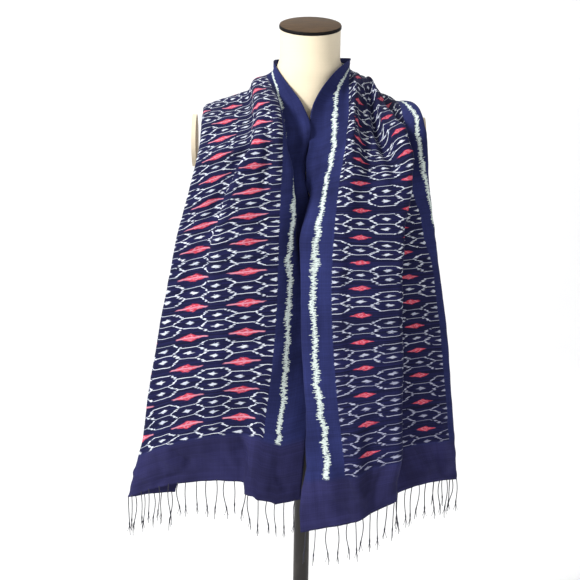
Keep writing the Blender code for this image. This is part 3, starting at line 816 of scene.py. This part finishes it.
def zigzag_threads(tree, across, lengthwise, from_selvedge, from_hem, weft, shift, luck):
    place = join_axes(tree, across, lengthwise)
    swing = calc(tree, "PINGPONG", calc(tree, "ADD", from_hem, 0.011), REPEAT_ALONG / 2)
    swing = calc(tree, "MULTIPLY", calc(tree, "SUBTRACT", swing, REPEAT_ALONG / 4), ZIGZAG_SWING)
    stray = calc(tree, "MULTIPLY", calc(tree, "SUBTRACT", cloud(tree, place, 11, 3), 0.5), ZIGZAG_STRAY)
    detour = calc(tree, "MULTIPLY", ramp(tree, lengthwise, *DETOUR_STARTS), ramp(tree, lengthwise, *DETOUR_ENDS))
    stray = calc(tree, "ADD", stray, calc(tree, "MULTIPLY", detour, ZIGZAG_DETOUR))
    centre = calc(tree, "ADD", calc(tree, "ADD", swing, stray), ZIGZAG_PLACE)
    off = calc(tree, "ADD", calc(tree, "SUBTRACT", from_selvedge, centre), calc(tree, "MULTIPLY", shift, 0.9))
    reach = calc(tree, "ADD", calc(tree, "MULTIPLY", luck, 0.0044), ZIGZAG_HALF - 0.0030)
    zigzag = ramp(tree, calc(tree, "SUBTRACT", calc(tree, "ABSOLUTE", off), reach), 0.0008, -0.0010)
    fleck_place = join_axes(tree, calc(tree, "MULTIPLY", across, 240), calc(tree, "MULTIPLY", weft, 0.9))
    return calc(tree, "MULTIPLY", zigzag, ramp(tree, cloud(tree, fleck_place, 1), 0.22, 0.46))

# %% [markdown]
# The group below gives each weft thread its luck, folds the chart, and keeps the pattern out of the side
# borders and the plain bands at the hems.

# %% The whole chart
WEFT_PITCH = 0.0012
THREAD_SHIFT = 0.0072


def ikat_group():
    tree, entry, leave = new_group(
        "Ikat chart", ("Across", "Along"), ("White", "Red", "Pale", "Field", "Zigzag", "Plain hem", "Row tint"))
    across, lengthwise = entry.outputs["Across"], entry.outputs["Along"]
    weft = calc(tree, "FLOOR", calc(tree, "DIVIDE", lengthwise, WEFT_PITCH))
    first, second, third = (dice(tree, weft, seed) for seed in (0.1, 57.3, 211.7))
    shift = calc(tree, "MULTIPLY", calc(tree, "SUBTRACT", first, 0.5), THREAD_SHIFT)
    from_hem = calc(tree, "MINIMUM", lengthwise, calc(tree, "SUBTRACT", CLOTH_LENGTH, lengthwise))
    from_selvedge = calc(tree, "MINIMUM", across, calc(tree, "SUBTRACT", CLOTH_WIDTH, across))

    place = join_axes(tree, across, lengthwise)
    drift = calc(tree, "MULTIPLY", calc(tree, "SUBTRACT", cloud(tree, place, 16), 0.5), 0.010)
    rise = calc(tree, "MULTIPLY", calc(tree, "SUBTRACT", cloud(tree, place, 23), 0.5), 0.006)
    x = calc(tree, "ADD", calc(tree, "ADD", across, drift), shift)
    x = calc(tree, "SUBTRACT", x, FIRST_COLUMN - REPEAT_ACROSS / 2)
    x = calc(tree, "FLOORED_MODULO", x, REPEAT_ACROSS)
    x = calc(tree, "ABSOLUTE", calc(tree, "SUBTRACT", x, REPEAT_ACROSS / 2))
    y = calc(tree, "ADD", lengthwise, rise)
    y = calc(tree, "MINIMUM", y, calc(tree, "SUBTRACT", CLOTH_LENGTH, y))
    y = calc(tree, "FLOORED_MODULO", calc(tree, "SUBTRACT", y, FIRST_ROW - REPEAT_ALONG / 2), REPEAT_ALONG)
    y = calc(tree, "ABSOLUTE", calc(tree, "SUBTRACT", y, REPEAT_ALONG / 2))

    white = white_threads(tree, x, y, second)
    y_red = calc(tree, "SUBTRACT", REPEAT_ALONG / 2, y)
    red, pale = red_threads(tree, x, y_red, lengthwise, second, third)
    zigzag = zigzag_threads(tree, across, lengthwise, from_selvedge, from_hem, weft, shift, second)

    ends = ramp(tree, from_hem, FIRST_ROW - 0.006, FIRST_ROW - 0.001)
    edge = calc(tree, "ADD", from_selvedge, calc(tree, "MULTIPLY", shift, 0.3))
    field = ramp(tree, edge, FIELD_START - 0.0008, FIELD_START + 0.0008)
    field = calc(tree, "MULTIPLY", field, ends)
    hem = calc(tree, "SUBTRACT", 1.0, ramp(tree, from_hem, FIRST_ROW - 0.012, FIRST_ROW + 0.002))
    for name, value in (("White", calc(tree, "MULTIPLY", white, field)),
                        ("Red", calc(tree, "MULTIPLY", red, field)),
                        ("Pale", calc(tree, "MULTIPLY", pale, field)),
                        ("Zigzag", calc(tree, "MULTIPLY", zigzag, ends)),
                        ("Field", field), ("Plain hem", hem), ("Row tint", second)):
        feed(tree, leave.inputs[name], value)
    return tree


ikat_chart = ikat_group()
print("chart nodes:", len(ikat_chart.nodes))

# %% [markdown]
# ## Weave
#
# Plain weave has threads that pass over and under each other. A product of two waves gives that relief, and
# noise stretched along each thread direction gives slubs, the thicker stretches of hand spun yarn. Several
# cloths use it, so it is a group.

# %% Weave group
def weave_group():
    tree, entry, leave = new_group("Plain weave", ("Across", "Along", "Pitch"), ("Threads", "Slubs"))
    across, lengthwise = entry.outputs["Across"], entry.outputs["Along"]
    turns = calc(tree, "DIVIDE", math.pi, entry.outputs["Pitch"])
    waves = [calc(tree, "SINE", calc(tree, "MULTIPLY", way, turns)) for way in (across, lengthwise)]
    threads = calc(tree, "MULTIPLY", waves[0], waves[1])
    threads = calc(tree, "ADD", calc(tree, "MULTIPLY", threads, 0.5), 0.5)
    fine = calc(tree, "DIVIDE", 0.35, entry.outputs["Pitch"])
    slubs = 0.0
    for x_fine, y_fine in ((1.0, 0.02), (0.02, 1.0)):
        x = calc(tree, "MULTIPLY", across, calc(tree, "MULTIPLY", fine, x_fine))
        y = calc(tree, "MULTIPLY", lengthwise, calc(tree, "MULTIPLY", fine, y_fine))
        slubs = calc(tree, "ADD", slubs, calc(tree, "MULTIPLY", cloud(tree, join_axes(tree, x, y), 1, 3), 0.5))
    feed(tree, leave.inputs["Threads"], threads)
    feed(tree, leave.inputs["Slubs"], slubs)
    return tree


plain_weave = weave_group()

# %% [markdown]
# ## Scarf material
#
# Three blues make the ground: a lighter indigo on the side borders, a purple one on the bands at the hems and
# a nearly black one under the pattern. Cotton scatters light at grazing angles, which the sheen gives. Where the
# left front leaves the collar its weft is pulled askew, so there the chart is bowed.

# %% Scarf material
WEAVE_PITCH = 0.0007
BOW_TURN = 0.150
BOW_SLOPE = 0.16
BOW_END = 0.205
BOW_REACH = ((0.36, 0.52), (0.94, 0.78))


def scarf_material():
    material, tree, shader = new_material("indigo_ikat", 0.82)
    shader.inputs["Sheen Weight"].default_value = 0.05
    shader.inputs["Sheen Roughness"].default_value = 0.45
    shader.inputs["Sheen Tint"].default_value = screen_colour(170, 176, 215)
    shader.inputs["Specular IOR Level"].default_value = 0.12
    cloth_map = tree.nodes.new("ShaderNodeUVMap")
    cloth_map.uv_map = "cloth"
    split = tree.nodes.new("ShaderNodeSeparateXYZ")
    tree.links.new(cloth_map.outputs["UV"], split.inputs[0])
    across, lengthwise = split.outputs["X"], split.outputs["Y"]
    bow = calc(tree, "MULTIPLY", calc(tree, "SUBTRACT", BOW_TURN, across), BOW_SLOPE)
    bow = calc(tree, "MULTIPLY", bow, ramp(tree, across, BOW_END, BOW_END - 0.030))
    for start, full in BOW_REACH:
        bow = calc(tree, "MULTIPLY", bow, ramp(tree, lengthwise, start, full))
    chart = place_group(tree, ikat_chart, Across=across, Along=calc(tree, "ADD", lengthwise, bow)).outputs
    weave = place_group(tree, plain_weave, Across=across, Along=lengthwise, Pitch=WEAVE_PITCH).outputs
    place = join_axes(tree, across, lengthwise)
    fading = cloud(tree, place, 9, 3)
    fading = calc(tree, "ADD", calc(tree, "MULTIPLY", fading, 0.9), calc(tree, "MULTIPLY", chart["Row tint"], 0.1))
    fading = ramp(tree, fading, 0.25, 0.75)
    border = mix_colour(tree, fading, screen_colour(27, 31, 70), screen_colour(41, 47, 97))
    hem = mix_colour(tree, fading, screen_colour(29, 28, 60), screen_colour(48, 47, 92))
    ground = mix_colour(tree, chart["Row tint"], screen_colour(15, 17, 44), screen_colour(29, 30, 72))
    colour = mix_colour(tree, chart["Plain hem"], border, hem)
    colour = mix_colour(tree, chart["Field"], colour, ground)
    red = mix_colour(tree, chart["Row tint"], screen_colour(176, 42, 64), screen_colour(206, 74, 92))
    colour = mix_colour(tree, chart["Red"], colour, red)
    colour = mix_colour(tree, chart["Pale"], colour, screen_colour(210, 150, 170))
    white = mix_colour(tree, chart["Row tint"], screen_colour(184, 192, 210), screen_colour(228, 232, 240))
    dim = mix_colour(tree, chart["Row tint"], screen_colour(120, 122, 152), screen_colour(176, 178, 200))
    white = mix_colour(tree, ramp(tree, lengthwise, 1.4, 1.9), white, dim)
    colour = mix_colour(tree, chart["White"], colour, white)
    colour = mix_colour(tree, chart["Zigzag"], colour, screen_colour(208, 220, 214))
    thick = ramp(tree, weave["Slubs"], 0.25, 0.75)
    shade = mix_colour(tree, thick, (0.80, 0.80, 0.80, 1), (1.12, 1.12, 1.12, 1))
    colour = mix_colour(tree, 1.0, colour, shade, "MULTIPLY")
    feed(tree, shader.inputs["Base Color"], colour)

    coarse = dent(tree, cloud(tree, place, 70, 2), 0.35, 0.0016)
    fine = tree.nodes.new("ShaderNodeBump")
    fine.inputs["Strength"].default_value = 0.30
    fine.inputs["Distance"].default_value = 0.00025
    feed(tree, fine.inputs["Height"], calc(tree, "ADD", weave["Threads"], calc(tree, "MULTIPLY", thick, 1.5)))
    feed(tree, fine.inputs["Normal"], coarse)
    feed(tree, shader.inputs["Normal"], fine.outputs["Normal"])
    return material


scarf.data.materials.append(scarf_material())
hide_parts("scarf_left", "scarf_back", "scarf_right")
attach(scarf, "root")

# %% [markdown]
# ## Fringe
#
# The warp threads are left long at both ends and twisted into thin strands. Each has a small knot above its
# loose tail. A strand is a curve that hangs straight down with a slight sway, thicker at the knot, and then it
# is turned into a mesh. Two thin ends part below each knot.

# %% Strand paths
STRANDS = 25
STRAND_INSET = 0.010
STRAND_RADIUS = 0.00095
KNOT_RADIUS = 0.0024
FRINGE_LENGTH = 0.076
KNOT_PLACE = 0.74
STRAND_STATIONS = 15
ROOT_DEPTH = 0.003


def hem_point(row, s):
    line = middle[row]
    return Vector([float(np.interp(s, across_places, line[:, axis])) for axis in range(3)])


def chance(i, seed):
    """A fixed number between -1 and 1 for each strand."""
    return math.sin(i * 12.9898 + seed * 78.233) * 43758.5453 % 2 - 1


def strand_points(root, i, seed):
    """Points down one strand with their share of its length, and the sideways swing of its end."""
    length = FRINGE_LENGTH * (1 + 0.13 * chance(i, seed))
    lean = Vector((0.006 * chance(i, seed + 1), 0.005 * chance(i, seed + 2), 0))
    bow = Vector((0.003 * chance(i, seed + 3), 0.003 * chance(i, seed + 4), 0))
    points = []
    for k in range(STRAND_STATIONS):
        t = k / (STRAND_STATIONS - 1)
        side = lean * t**1.6 + bow * math.sin(math.pi * 1.7 * t)
        points.append((root + side + Vector((0, 0, ROOT_DEPTH - t * length)), t))
    return points, lean


def strand_radius(t):
    knot = math.exp(-((t - KNOT_PLACE) / 0.030) ** 2)
    thin = 1 - 0.35 * float(smoothstep((t - KNOT_PLACE) / 0.2))
    return STRAND_RADIUS * thin * (1 - knot) + KNOT_RADIUS * knot

# %% [markdown]
# All strands of one hem are splines of one curve, so one mesh holds them.

# %% Make both fringes
def add_spline(curve, points, radii):
    spline = curve.splines.new("POLY")
    spline.points.add(len(points) - 1)
    for spot, point, radius in zip(spline.points, points, radii):
        spot.co = (*point, 1)
        spot.radius = radius


def make_fringe(name, row, seed):
    curve = bpy.data.curves.new(name, "CURVE")
    curve.dimensions = "3D"
    curve.bevel_depth = 1.0
    curve.bevel_resolution = 1
    curve.use_fill_caps = True
    for i in range(STRANDS):
        s = STRAND_INSET + (CLOTH_WIDTH - 2 * STRAND_INSET) * i / (STRANDS - 1)
        s += 0.0025 * chance(i, seed + 7)
        points, lean = strand_points(hem_point(row, s), i, seed)
        add_spline(curve, [point for point, t in points], [strand_radius(t) for point, t in points])
        knot = points[round(KNOT_PLACE * (STRAND_STATIONS - 1))][0]
        for side in (-1, 1):
            spread = Vector((side * (0.003 + 0.002 * chance(i, seed + 5)), 0.003 * chance(i, seed + 6), 0))
            ends = [knot + spread * t**1.5 + Vector((0, 0, -0.017 * t)) for t in (0, 0.25, 0.5, 0.75, 1.0)]
            add_spline(curve, ends, [STRAND_RADIUS * (0.62 - 0.25 * t) for t in (0, 0.25, 0.5, 0.75, 1.0)])
    shaped = bpy.data.objects.new(name, curve)
    bpy.context.scene.collection.objects.link(shaped)
    bpy.context.view_layer.update()
    mesh = bpy.data.meshes.new_from_object(shaped.evaluated_get(bpy.context.evaluated_depsgraph_get()))
    bpy.data.objects.remove(shaped, do_unlink=True)
    mesh.name = name
    for face in mesh.polygons:
        face.use_smooth = True
    piece = bpy.data.objects.new(name, mesh)
    bpy.context.scene.collection.objects.link(piece)
    return piece


fringes = {
    "fringe_left": make_fringe("left_hem_strands", 0, 1.0),
    "fringe_right": make_fringe("right_hem_strands", ROWS, 2.0),
}
print("fringe faces:", [len(piece.data.polygons) for piece in fringes.values()])

# %% [markdown]
# Twisted yarn shows slanting plies. A wave along the strand's height, with a little noise, paints the plies'
# light and shade into the colour at this thickness; the same wave also dents the surface.

# %% Fringe material
def fringe_material():
    material, tree, shader = new_material("fringe_cord", 0.85)
    shader.inputs["Sheen Weight"].default_value = 0.15
    place = tree.nodes.new("ShaderNodeTexCoord").outputs["Object"]
    split = tree.nodes.new("ShaderNodeSeparateXYZ")
    tree.links.new(place, split.inputs[0])
    turn = calc(tree, "ADD", calc(tree, "MULTIPLY", split.outputs["Z"], 2600),
                calc(tree, "MULTIPLY", split.outputs["X"], 1900))
    ply_relief_and_painted_shade = calc(tree, "ADD", calc(tree, "MULTIPLY", calc(tree, "SINE", turn), 0.5), 0.5)
    worn = cloud(tree, place, 90, 3)
    # Painted light and shade: the wave darkens the colour where the grooves between the plies would be shaded.
    colour = mix_colour(tree, ply_relief_and_painted_shade, screen_colour(10, 10, 20), screen_colour(30, 29, 48))
    colour = mix_colour(tree, calc(tree, "MULTIPLY", worn, 0.5), colour, screen_colour(46, 45, 66))
    feed(tree, shader.inputs["Base Color"], colour)
    feed(tree, shader.inputs["Normal"], dent(tree, ply_relief_and_painted_shade, 0.6, 0.0003))
    return material


cord_finish = fringe_material()
for node, piece in fringes.items():
    piece.data.materials.append(cord_finish)
    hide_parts(node)
    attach(piece, "root")

# %% [markdown]
# ## Dress form
#
# The body is covered in fine cream linen, stretched tight, so only its weave and slight yellowing show. The
# plates at the shoulders wear the same cloth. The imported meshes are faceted, so they are shaded smooth, apart
# from edges sharper than 35 degrees.

# %% Linen
def linen_material(name):
    material, tree, shader = new_material(name, 0.88)
    shader.inputs["Sheen Weight"].default_value = 0.20
    shader.inputs["Specular IOR Level"].default_value = 0.25
    place = tree.nodes.new("ShaderNodeTexCoord").outputs["Object"]
    split = tree.nodes.new("ShaderNodeSeparateXYZ")
    tree.links.new(place, split.inputs[0])
    round_it = calc(tree, "MULTIPLY", calc(tree, "ARCTAN2", split.outputs["X"], split.outputs["Y"]), 0.09)
    weave = place_group(tree, plain_weave, Across=round_it, Along=split.outputs["Z"], Pitch=0.0009).outputs
    aged = cloud(tree, place, 6, 4)
    colour = mix_colour(tree, aged, screen_colour(224, 207, 176), screen_colour(239, 227, 201))
    slub = ramp(tree, weave["Slubs"], 0.3, 0.7)
    shade = mix_colour(tree, slub, (0.98, 0.975, 0.97, 1), (1.01, 1.01, 1.01, 1))
    colour = mix_colour(tree, 1.0, colour, shade, "MULTIPLY")
    feed(tree, shader.inputs["Base Color"], colour)
    feed(tree, shader.inputs["Normal"],
         dent(tree, calc(tree, "ADD", weave["Threads"], slub), 0.35, 0.0003))
    return material


SHARP_ANGLE = math.radians(35)


def dress(node, material):
    """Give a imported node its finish, and shade its round faces smooth."""
    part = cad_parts[node]
    part.data.materials.clear()
    part.data.materials.append(material)
    part.data.attributes.remove(part.data.attributes["custom_normal"])
    part.data.shade_smooth()
    part.modifiers.new("join faces", "WELD").merge_threshold = 0.00001
    part.modifiers.new("keep edges", "EDGE_SPLIT").split_angle = SHARP_ANGLE


linen = linen_material("cream_linen")
for node in ("form_torso", "arm_plate_left", "arm_plate_right"):
    dress(node, linen)

# %% [markdown]
# ## Neck cap
#
# The cap is a turned disc of stained wood with fine straight grain on its top. Its rim is painted nearly
# black as shade. The rim is found by how far the surface turns away from the cap's own axis.

# %% Wood
CAP_TILT = math.radians(15)


def cap_material():
    material, tree, shader = new_material("dark_wood", 0.60)
    shader.inputs["Specular IOR Level"].default_value = 0.15
    place = tree.nodes.new("ShaderNodeTexCoord").outputs["Object"]
    turned = tree.nodes.new("ShaderNodeMapping")
    turned.inputs["Rotation"].default_value = (0, 0, math.radians(20))
    turned.inputs["Scale"].default_value = (9, 90, 90)
    tree.links.new(place, turned.inputs["Vector"])
    grain = cloud(tree, turned.outputs["Vector"], 4, 6)
    facing = tree.nodes.new("ShaderNodeVectorMath")
    facing.operation = "DOT_PRODUCT"
    tree.links.new(tree.nodes.new("ShaderNodeNewGeometry").outputs["Normal"], facing.inputs[0])
    facing.inputs[1].default_value = (0, -math.sin(CAP_TILT), math.cos(CAP_TILT))
    # Painted shade: where the surface turns away from the cap's axis, at the rim, the colour is painted nearly
    # black.
    unshaded_top = ramp(tree, facing.outputs["Value"], 0.70, 0.97)
    wood = mix_colour(tree, ramp(tree, grain, 0.3, 0.7), screen_colour(64, 48, 32), screen_colour(92, 72, 50))
    feed(tree, shader.inputs["Base Color"], mix_colour(tree, unshaded_top, screen_colour(14, 11, 10), wood))
    feed(tree, shader.inputs["Roughness"], calc(tree, "ADD", calc(tree, "MULTIPLY", grain, 0.2), 0.50))
    feed(tree, shader.inputs["Normal"], dent(tree, grain, 0.15, 0.0006))
    return material


dress("neck_cap", cap_material())

# %% [markdown]
# ## Stand
#
# Pole, socket and base are steel with a thin satin black coat. It has slight orange peel and dust, so the
# roughness varies.

# %% Black metal
def metal_material():
    material, tree, shader = new_material("black_metal", 0.36)
    shader.inputs["Metallic"].default_value = 0.35
    place = tree.nodes.new("ShaderNodeTexCoord").outputs["Object"]
    peel = cloud(tree, place, 260, 2)
    dust = cloud(tree, place, 22, 5)
    colour = mix_colour(tree, ramp(tree, dust, 0.45, 0.8), screen_colour(34, 31, 29), screen_colour(56, 52, 48))
    feed(tree, shader.inputs["Base Color"], colour)
    feed(tree, shader.inputs["Roughness"], calc(tree, "ADD", calc(tree, "MULTIPLY", dust, 0.3), 0.22))
    feed(tree, shader.inputs["Normal"], dent(tree, peel, 0.12, 0.0004))
    return material


black_metal = metal_material()
for node in ("pole_collar", "pole", "stand_base"):
    dress(node, black_metal)
print("finishes:", [material.name for material in bpy.data.materials])

# %% [markdown]
# ## Floor and light
#
# The floor is a pale sheet that curves up behind the form, as in a photographer's cove, so no horizon shows.
# A soft light stands high in front on the left, a weaker one on the right, a third brightens the paper, and a
# pale sky fills the folds. The plain view transform keeps the paper white and the indigo deep, as in the
# photograph.

# %% Cove
COVE_WIDTH = 12.0
COVE_FRONT = -4.0
COVE_BACK = 3.2
COVE_RADIUS = 1.6
COVE_TOP = 6.0


def make_cove():
    bm = bmesh.new()
    start = bm.verts.new((-COVE_WIDTH / 2, COVE_FRONT, 0))
    end = bm.verts.new((COVE_WIDTH / 2, COVE_FRONT, 0))
    edge = bm.edges.new((start, end))
    path = [Vector((0, COVE_BACK, 0))]
    for k in range(1, 13):
        angle = math.pi / 2 * k / 12
        path.append(Vector((0, COVE_BACK + COVE_RADIUS * math.sin(angle), COVE_RADIUS * (1 - math.cos(angle)))))
    path.append(Vector((0, COVE_BACK + COVE_RADIUS, COVE_TOP)))
    for point in path:
        made = bmesh.ops.extrude_edge_only(bm, edges=[edge])["geom"]
        edge = next(item for item in made if isinstance(item, bmesh.types.BMEdge))
        for vert in edge.verts:
            vert.co.y, vert.co.z = point.y, point.z
    bmesh.ops.recalc_face_normals(bm, faces=bm.faces)
    mesh = bpy.data.meshes.new("cove")
    bm.to_mesh(mesh)
    bm.free()
    for face in mesh.polygons:
        face.use_smooth = True
    piece = bpy.data.objects.new("cove", mesh)
    bpy.context.scene.collection.objects.link(piece)
    return piece


cove = make_cove()
paper, paper_tree, paper_shader = new_material("pale_paper", 0.9)
paper_place = paper_tree.nodes.new("ShaderNodeTexCoord").outputs["Object"]
paper_colour = mix_colour(paper_tree, cloud(paper_tree, paper_place, 3, 3),
                          screen_colour(246, 246, 247), screen_colour(250, 250, 250))
feed(paper_tree, paper_shader.inputs["Base Color"], paper_colour)
cove.data.materials.append(paper)

# %% Lights
def soft_light(name, place, size, power, target=Vector((0, 0, 1.0))):
    lamp = bpy.data.lights.new(name, "AREA")
    lamp.shape = "DISK"
    lamp.size = size
    lamp.energy = power
    item = bpy.data.objects.new(name, lamp)
    item.location = place
    item.rotation_euler = (target - Vector(place)).to_track_quat("-Z", "Y").to_euler()
    bpy.context.scene.collection.objects.link(item)


soft_light("key", (-2.4, -1.7, 3.1), 0.8, 150)
soft_light("fill", (2.4, -2.2, 2.0), 2.0, 12)
soft_light("back_glow", (0.0, 2.0, 3.6), 3.0, 45, Vector((0, 4.0, 1.0)))
print("lights:", [lamp.name for lamp in bpy.data.lights])

bpy.context.scene.view_settings.view_transform = "Standard"
world = bpy.context.scene.world or bpy.data.worlds.new("sky")
bpy.context.scene.world = world
world.use_nodes = True
sky = world.node_tree.nodes["Background"]
sky.inputs["Color"].default_value = (1, 1, 1, 1)
sky.inputs["Strength"].default_value = 0.56
